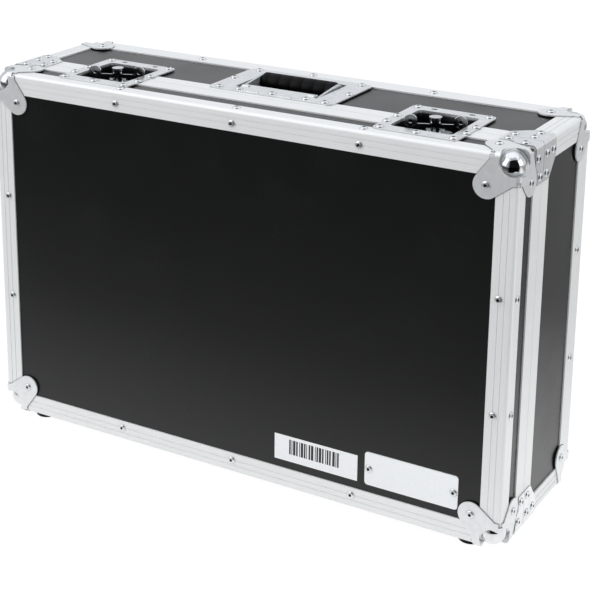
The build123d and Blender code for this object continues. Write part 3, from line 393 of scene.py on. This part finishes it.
# ------------------------------------------------------------------ what a user would change
class CaseSettings(bpy.types.PropertyGroup):
    laminate_roughness: bpy.props.FloatProperty(
        name="Laminate roughness", description="Dullness of the black laminate", default=0.24,
        min=0.05, max=0.9, subtype="FACTOR")
    aluminium_roughness: bpy.props.FloatProperty(
        name="Aluminium roughness", description="Dullness of the anodised extrusions", default=0.46,
        min=0.05, max=0.9, subtype="FACTOR")
    grip_rib_pitch: bpy.props.FloatProperty(
        name="Grip rib pitch", description="Distance between the grip's finger ribs", default=13.6 * MM,
        min=3 * MM, max=20 * MM, unit="LENGTH")
    grip_rib_depth: bpy.props.FloatProperty(
        name="Grip rib depth", description="Depth of the grooves between the ribs", default=0.35 * MM,
        min=0, max=2 * MM, unit="LENGTH")
    label_bar_colour: bpy.props.FloatVectorProperty(
        name="Label bar colour", description="Colour of the plain bars on the paper label",
        subtype="COLOR", size=4, default=hex_colour("#222325"))
    lens: bpy.props.FloatProperty(
        name="Lens", description="Focal length of the stage camera, in mm", default=96.13, min=20, max=300)


class CASE_OT_shell(bpy.types.Operator):
    """Dresses the panels and walls in black laminate"""
    bl_idname = "case.shell"
    bl_label = "Laminate Shell"

    def execute(self, context):
        laminate = phenolic_laminate(context.scene.case_settings)
        for half in HALVES:
            for part in ["panel"] + [f"wall_{side}" for side in SIDES]:
                dress(f"{half}_{part}", laminate)
        return {"FINISHED"}


class CASE_OT_extrusions(bpy.types.Operator):
    """Dresses the edging, the closure frames and the edge angles in anodised aluminium"""
    bl_idname = "case.extrusions"
    bl_label = "Extrusions"

    def execute(self, context):
        props = context.scene.case_settings
        along = {axis: anodised_aluminium(props, axis) for axis in "xyz"}
        for half in HALVES:
            for side in SIDES:
                run = along["x"] if side in ("top", "bottom") else along["z"]
                dress(f"{half}_edging_{side}", run)
                dress(f"{half}_closure_{side}", run)
        dress("base_edge_angles", along["y"])
        return {"FINISHED"}


class CASE_OT_corners(bpy.types.Operator):
    """Dresses the ball corners and the braces"""
    bl_idname = "case.corners"
    bl_label = "Corners and Braces"

    def execute(self, context):
        casting = corner_casting()
        brace = zinc_plate("bright_zinc_brace")
        for half in HALVES:
            dress(f"{half}_ball_corners", casting)
            dress(f"{half}_corner_braces", brace)
        return {"FINISHED"}


class CASE_OT_rivets(bpy.types.Operator):
    """Domes the rivets' heads, with a rolled eye and the mandrel's dark stub in it; the eye's darkness is
    painted shade
    """
    bl_idname = "case.rivets"
    bl_label = "Rivets"

    # half outlines in mm over the face that a head sits on, from its axis outwards: the domed head with its
    # shank, and the stub with the dark lining of the eye, a dark sheet that is painted shade
    dome = ((0.0, 0.2), (1.3, 0.2), (1.35, 1.4), (1.6, 1.64), (2.3, 1.62), (3.0, 1.47), (3.55, 1.17),
            (3.95, 0.76), (4.15, 0.35), (4.2, 0.0), (2.0, 0.0), (2.0, -6.0), (0.0, -6.0))
    mandrel_and_eye_shade = ((0.0, 0.75), (0.7, 0.75), (1.0, 0.55), (1.25, 0.55), (1.33, 1.6), (1.48, 1.63), (1.48, 0.3),
            (0.0, 0.3))
    # only the rim of a plain head lies this far off its axis
    rim_radius = 4.1 * MM

    def execute(self, context):
        rivet = zinc_plate("plated_rivet", ("#dde0e1", "#eef0f1"), metal=0.85)
        # the mandrel is real, but its near-black, on the stub and the eye's lining, is painted shade of the
        # hollow eye
        steel = zinc_plate("mandrel_and_painted_eye_shade", ("#0b0c0c", "#1a1b1c"), rough=0.4, metal=0.5)
        for half in HALVES:
            places = self.places(f"{half}_rivets")
            heads = bmesh.new()
            stamp(heads, self.dome, places, steps=20)
            finish_mesh(heads, f"{half}_rivet_heads", rivet, half, [f"{half}_rivets"],
                        smooth=50)
            mandrels_and_eye_shade = bmesh.new()
            stamp(mandrels_and_eye_shade, self.mandrel_and_eye_shade, places, steps=20)
            finish_mesh(mandrels_and_eye_shade, f"{half}_rivet_mandrels_and_eye_shade", steel, half, smooth=50)
        return {"FINISHED"}

    def places(self, node):
        """For each rivet of a CAD node, a matrix: the middle of its head's underside, and Z out of it."""
        bm = bmesh.new()
        bm.from_mesh(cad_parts[node].data)
        bmesh.ops.remove_doubles(bm, verts=bm.verts, dist=WELD)
        found = []
        left = set(bm.verts)
        while left:
            rivet = self.joined(left.pop(), left)
            low = Vector([min(point[k] for point in rivet) for k in range(3)])
            high = Vector([max(point[k] for point in rivet) for k in range(3)])
            centre = (low + high) / 2
            # only along the rivet's own axis does the rim of its head lie at one place
            rims = [self.rim(rivet, centre, axis) for axis in range(3)]
            axis = min(range(3), key=lambda k: max(rims[k]) - min(rims[k]))
            outward = Vector((0, 0, 0))
            outward[axis] = 1 if rims[axis][0] > centre[axis] else -1
            centre[axis] = rims[axis][0]
            turn = Vector((0, 0, 1)).rotation_difference(outward).to_matrix().to_4x4()
            found.append(Matrix.Translation(centre) @ turn)
        bm.free()
        return found

    def joined(self, first, left):
        """One rivet's points: the first and all that edges join to it, taken out of those left."""
        points = []
        ahead = [first]
        while ahead:
            vert = ahead.pop()
            points.append(vert.co.copy())
            for edge in vert.link_edges:
                other = edge.other_vert(vert)
                if other in left:
                    left.remove(other)
                    ahead.append(other)
        return points

    def rim(self, points, centre, axis):
        """The places along one axis of the points that lie a rim's radius or more off it."""
        places = []
        for point in points:
            apart = point - centre
            apart[axis] = 0
            if apart.length > self.rim_radius:
                places.append(point[axis])
        return places


class CASE_OT_latches(bpy.types.Operator):
    """Dresses the latch dishes and hooks, and the wings and spindles"""
    bl_idname = "case.latches"
    bl_label = "Latches"

    def execute(self, context):
        dish = zinc_plate("bright_zinc_dish", pan=True)
        works = zinc_plate("bright_zinc_latch_work", ("#dfe2e3", "#f2f4f5"), rough=0.09, metal=1.0)
        hook = zinc_plate("zinc_hook_steel", ("#c2c6c8", "#dbdee0"), rough=0.2, metal=0.7)
        finishes = {"keeper_dish": dish, "latch_dish": dish, "hook": hook, "spindle": works, "wing": works}
        for side in LATCHES:
            for part, finish in finishes.items():
                dress(f"{side}_{part}", finish)
        return {"FINISHED"}


class CASE_OT_handle(bpy.types.Operator):
    """Makes the ribbed grip and dresses the handle's steel"""
    bl_idname = "case.handle"
    bl_label = "Handle"

    # the grip's bore, the round of its ends and half a groove's width at its floor and at its mouth
    bore = 4.0 * MM
    round_end = 2.6 * MM
    groove_floor = 0.3 * MM
    groove_mouth = 0.9 * MM

    def execute(self, context):
        dress("handle_dish", zinc_plate("bright_zinc_handle_dish", pan=True))
        dress("handle_bail", zinc_plate("bright_zinc_bail", ("#c8cbcd", "#e0e3e4"), rough=0.2))
        dress("handle_spring", zinc_plate("spring_wire", ("#8e9294", "#a6aaac"), rough=0.25))
        low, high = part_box("handle_grip")
        outline = self.outline(context.scene.case_settings, (high.z - low.z) / 2, (high.x - low.x) / 2)
        bm = bmesh.new()
        spin_outline(bm, [(radius / MM, place / MM) for radius, place in outline], steps=56)
        turn = Matrix.Translation((low + high) / 2) @ Matrix.Rotation(math.pi / 2, 4, "Y")
        bmesh.ops.transform(bm, matrix=turn, verts=bm.verts)
        finish_mesh(bm, "ribbed_grip", moulded_rubber(), "handle", ["handle_grip"])
        return {"FINISHED"}

    def outline(self, props, radius, half):
        """The grip's closed half outline: bore, round ends and a groove between each two ribs."""
        shoulder = radius - self.round_end
        # each end is a quarter round in four steps
        turns = [math.pi / 2 * step / 4 for step in range(1, 5)]
        outline = [(self.bore, -half), (shoulder, -half)]
        outline += [(shoulder + self.round_end * math.sin(a), -half + self.round_end * (1 - math.cos(a)))
                    for a in turns]
        # the grooves stay clear of both round ends by as much again
        ribs = int((2 * half - 4 * self.round_end) / props.grip_rib_pitch)
        floor = radius - props.grip_rib_depth
        for rib in range(ribs + 1):
            at = (rib - ribs / 2) * props.grip_rib_pitch
            outline += [(radius, at - self.groove_mouth), (floor, at - self.groove_floor),
                        (floor, at + self.groove_floor), (radius, at + self.groove_mouth)]
        outline += [(shoulder + self.round_end * math.sin(a), half - self.round_end * (1 - math.cos(a)))
                    for a in reversed(turns)]
        return outline + [(shoulder, half), (self.bore, half), (self.bore, -half)]


class CASE_OT_hinges_feet(bpy.types.Operator):
    """Dresses the hinges and the rubber feet, and adds the feet's screws"""
    bl_idname = "case.hinges_feet"
    bl_label = "Hinges and Feet"

    # half outline of a pan screw with its recess, in mm over the floor
    screw = ((0, 5.4), (3.3, 5.4), (3.3, 4.6), (2.2, 3.9), (0.9, 3.7), (0.9, 4.6), (0, 4.6))

    def execute(self, context):
        steel = zinc_plate("zinc_hinge_steel", ("#c4c8ca", "#dcdfe1"), rough=0.28)
        rubber = moulded_rubber()
        for node in ("lid_hinge_leaves", "base_hinge_leaves", "hinge_pins"):
            dress(node, steel)
        for half in HALVES:
            dress(f"{half}_feet", rubber)
            low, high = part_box(f"{half}_feet")
            foot_radius = (high.y - low.y) / 2
            bm = bmesh.new()
            places = [Matrix.Translation((x, low.y + foot_radius, 0))
                      for x in (foot_radius - high.x, high.x - foot_radius)]
            stamp(bm, self.screw, places, steps=28)
            finish_mesh(bm, f"{half}_foot_screws", steel, half)
        return {"FINISHED"}


class CASE_OT_foam(bpy.types.Operator):
    """Dresses the foam lining"""
    bl_idname = "case.foam"
    bl_label = "Foam Lining"

    def execute(self, context):
        foam = closed_cell_foam()
        for half in HALVES:
            dress(f"{half}_foam_panel", foam)
            dress(f"{half}_foam_walls", foam)
        return {"FINISHED"}


class CASE_OT_plates(bpy.types.Operator):
    """Dresses the bare name plate and the paper label, and adds the label's plain bars"""
    bl_idname = "case.plates"
    bl_label = "Plate and Label"

    # bars and gaps take turns in these relative widths, and spell nothing
    strokes = (2, 1, 1, 1, 3, 1, 2, 2, 1, 1, 3, 1, 2, 1, 1, 2, 2, 1, 3, 2, 1, 1, 2, 1, 3, 1, 2, 2, 1, 1, 2, 1,
               2, 2, 3, 1, 1, 1, 2)
    # the shares of the label's width and height between which the bars stand
    bars_left, bars_right = 0.18, 0.78
    bars_foot, bars_head = 0.30, 0.88
    ink_height = 0.03 * MM

    def execute(self, context):
        dress("name_plate", pale_coating("painted_grey_plate", ("#e9ebec", "#f0f1f2"), rough=0.40))
        dress("paper_label", pale_coating("coated_label_paper", ("#e9ebec", "#f1f2f3"), rough=0.45))
        low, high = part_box("paper_label")
        wide, tall = high.x - low.x, high.z - low.z
        foot, head = low.z + self.bars_foot * tall, low.z + self.bars_head * tall
        unit = (self.bars_right - self.bars_left) * wide / sum(self.strokes)
        bm = bmesh.new()
        x = low.x + self.bars_left * wide
        for index, stroke in enumerate(self.strokes):
            if index % 2 == 0:
                box_at(bm, (x, low.y - self.ink_height, foot), (x + stroke * unit, low.y, head))
            x += stroke * unit
        finish_mesh(bm, "label_bars", printing_ink(context.scene.case_settings), "lid")
        return {"FINISHED"}


class CASE_OT_stage(bpy.types.Operator):
    """Sets the camera, the floor, the lamps and the world"""
    bl_idname = "case.stage"
    bl_label = "Stage"

    # where the camera stands, its right, down and forward directions, and how far its frame is shifted
    camera_place = (0.78498, -1.34714, 0.80275)
    camera_right = Vector((0.85354, 0.52102, 0.00282))
    camera_down = Vector((0.15065, -0.24161, -0.95861))
    camera_ahead = Vector((-0.49877, 0.81864, -0.28471))
    shift_x, shift_y = 0.0795, -0.2507

    # each lamp's name, place, size and power; all point at the middle of the case
    lamp_aim = Vector((0, 0, 0.2))
    lamp_table = (
        ("overhead_box", (0.1, 0.1, 2.3), 3.2, 15),
        ("left_key", (-1.8, -1.9, 1.9), 2.8, 29),
        ("right_fill", (2.2, 0.3, 1.2), 1.4, 7),
    )

    # the greys that the floor glows for the metal to mirror, a painted reflection: from front to back as far
    # as this reach to either side of the case, and round the dark bay from its middle
    floor_reach = 1.5
    floor_depths = [(0.10, 0.05), (0.24, 0.10), (0.36, 0.22), (0.46, 0.66), (0.54, 0.72), (0.68, 0.23),
                    (0.95, 0.26)]
    floor_bay = [(0.31, 0.01), (0.36, 0.30), (0.45, 0.90), (0.55, 1.0)]
    # on the floor the painted dark bay fans out from this point at the case's front right corner, and sets in
    # some 0.4 m away from it
    bay_start = (0.25, -0.05, 0)
    bay_clear = [(0.36, 1.0), (0.46, 0.0)]
    # the greys of the room's painted reflection: round the bay, and towards the zenith, where the bay ends
    room_bay = [(0.31, 0.01), (0.36, 0.30), (0.46, 0.60), (0.62, 1.0)]
    room_zenith = [(0.92, 0.0), (0.98, 1.0)]

    def execute(self, context):
        scene = context.scene
        self.camera(scene, scene.case_settings.lens)
        self.floor(scene)
        self.lamps(scene)
        self.world(scene)
        scene.view_settings.view_transform = "Standard"
        return {"FINISHED"}

    def camera(self, scene, lens):
        """A long lens, high on the case's right front."""
        data = bpy.data.cameras.new("stage_camera")
        data.sensor_fit = "HORIZONTAL"
        data.sensor_width = 36
        data.lens = lens
        data.shift_x, data.shift_y = self.shift_x, self.shift_y
        data.clip_start, data.clip_end = 0.05, 60
        camera = bpy.data.objects.new("stage_camera", data)
        turn = Matrix((self.camera_right, -self.camera_down, -self.camera_ahead)).transposed().to_4x4()
        camera.matrix_world = Matrix.Translation(self.camera_place) @ turn
        scene.collection.objects.link(camera)
        scene.camera = camera

    def floor(self, scene):
        """A pale sweep: white to the eye; for what mirrors it, a painted reflection, bright round the case
        and dark in front.
        """
        bm = bmesh.new()
        bmesh.ops.create_grid(bm, x_segments=2, y_segments=2, size=6)
        mesh = bpy.data.meshes.new("sweep")
        bm.to_mesh(mesh)
        bm.free()
        floor = bpy.data.objects.new("sweep", mesh)
        scene.collection.objects.link(floor)
        mat, tree = new_material("painted_sweep")
        mesh.materials.append(mat)
        place = add(tree, "ShaderNodeTexCoord").outputs["Object"]
        parts = add(tree, "ShaderNodeSeparateXYZ", links={0: place})
        depth = add(tree, "ShaderNodeMapRange", {"From Min": -self.floor_reach, "From Max": self.floor_reach},
                    {"Value": parts.outputs["Y"]})
        past = add(tree, "ShaderNodeVectorMath", {1: self.bay_start}, {0: place},
                   operation="SUBTRACT").outputs["Vector"]
        near = add(tree, "ShaderNodeVectorMath", links={1: past}, operation="DISTANCE")
        shade = blended(tree, ramp(tree, dark_bay(tree, past), self.floor_bay),
                        ramp(tree, near.outputs["Value"], self.bay_clear), "LIGHTEN")
        tone = blended(tree, ramp(tree, depth.outputs["Result"], self.floor_depths), shade, "MULTIPLY")
        # for mirrored rays the floor glows these greys, a painted reflection, though it is no lamp
        painted_reflection = add(tree, "ShaderNodeEmission", {"Strength": 1.5}, {"Color": tone})
        paint = add(tree, "ShaderNodeBsdfDiffuse", {"Color": hex_colour("#f4f4f4")})
        white = add(tree, "ShaderNodeEmission", {"Strength": 1.06})
        # a tenth of the paint stays visible, and carries the case's shadow
        seen = add(tree, "ShaderNodeMixShader", {"Fac": 0.90},
                   {1: paint.outputs["BSDF"], 2: white.outputs["Emission"]})
        rays, sharp = self.ray_kinds(tree)
        plain = add(tree, "ShaderNodeMixShader",
                    links={"Fac": rays["Is Camera Ray"], 1: paint.outputs["BSDF"], 2: seen.outputs["Shader"]})
        whole = add(tree, "ShaderNodeMixShader",
                    links={"Fac": sharp, 1: plain.outputs["Shader"], 2: painted_reflection.outputs["Emission"]})
        add(tree, "ShaderNodeOutputMaterial", links={"Surface": whole.outputs["Shader"]})

    def lamps(self, scene):
        """A wide overhead box, a soft key from the left front and a weak fill from the right."""
        for name, place, size, power in self.lamp_table:
            data = bpy.data.lights.new(name, "AREA")
            data.shape = "SQUARE"
            data.size = size
            data.energy = power
            lamp = bpy.data.objects.new(name, data)
            lamp.location = place
            lamp.rotation_mode = "QUATERNION"
            lamp.rotation_quaternion = (self.lamp_aim - Vector(place)).to_track_quat("-Z", "Y")
            scene.collection.objects.link(lamp)

    def world(self, scene):
        """White to the eye; for what mirrors it, a painted reflection, pale with one dark bay in front on the
        right.
        """
        world = bpy.data.worlds.new("studio")
        scene.world = world
        world.use_nodes = True
        tree = world.node_tree
        tree.nodes.clear()
        place = add(tree, "ShaderNodeTexCoord").outputs["Generated"]
        parts = add(tree, "ShaderNodeSeparateXYZ", links={0: place})
        dark = blended(tree, ramp(tree, dark_bay(tree, place), self.room_bay),
                       ramp(tree, parts.outputs["Z"], self.room_zenith), "LIGHTEN")
        height = add(tree, "ShaderNodeMapRange", {"From Min": 0.0, "From Max": 0.5},
                     {"Value": parts.outputs["Z"]})
        sky = ramp(tree, height.outputs["Result"], [(0.0, "#ffffff"), (1.0, "#eef3fb")])
        # only mirrored rays see this sky and its dark bay; the room lights the case evenly
        painted_reflection = add(tree, "ShaderNodeBackground", {"Strength": 0.74},
                       {"Color": blended(tree, sky, dark, "MULTIPLY")})
        room = add(tree, "ShaderNodeBackground", {"Color": hex_colour("#f6f8fa"), "Strength": 0.85})
        white = add(tree, "ShaderNodeBackground", {"Color": (1, 1, 1, 1), "Strength": 1.0})
        rays, sharp = self.ray_kinds(tree)
        unseen = add(tree, "ShaderNodeMixShader",
                     links={"Fac": sharp, 1: room.outputs["Background"], 2: painted_reflection.outputs["Background"]})
        whole = add(tree, "ShaderNodeMixShader",
                    links={"Fac": rays["Is Camera Ray"], 1: unseen.outputs["Shader"],
                           2: white.outputs["Background"]})
        add(tree, "ShaderNodeOutputWorld", links={"Surface": whole.outputs["Shader"]})

    def ray_kinds(self, tree):
        """The kinds of ray, and one socket that is 1 for a ray that is mirrored or passes through."""
        rays = add(tree, "ShaderNodeLightPath").outputs
        sharp = add(tree, "ShaderNodeMath", links={0: rays["Is Glossy Ray"], 1: rays["Is Transmission Ray"]},
                    operation="MAXIMUM")
        return rays, sharp.outputs["Value"]


STEPS = (CASE_OT_shell, CASE_OT_extrusions, CASE_OT_corners, CASE_OT_rivets, CASE_OT_latches, CASE_OT_handle,
         CASE_OT_hinges_feet, CASE_OT_foam, CASE_OT_plates, CASE_OT_stage)


class CASE_PT_sidebar(bpy.types.Panel):
    """Lists the case's settings and steps"""
    bl_idname = "CASE_PT_sidebar"
    bl_label = "Pedal Case"
    bl_space_type = "VIEW_3D"
    bl_region_type = "UI"
    bl_category = "Pedal Case"

    def draw(self, context):
        for key in CaseSettings.__annotations__:
            self.layout.prop(context.scene.case_settings, key)
        for step in STEPS:
            self.layout.operator(step.bl_idname)


CLASSES = (CaseSettings, *STEPS, CASE_PT_sidebar)


def register():
    for cls in CLASSES:
        bpy.utils.register_class(cls)
    bpy.types.Scene.case_settings = bpy.props.PointerProperty(type=CaseSettings)


def unregister():
    del bpy.types.Scene.case_settings
    for cls in reversed(CLASSES):
        bpy.utils.unregister_class(cls)


def main():
    register()
    for step in STEPS:
        group, name = step.bl_idname.split(".")
        getattr(getattr(bpy.ops, group), name)()


if __name__ == "__main__":
    main()
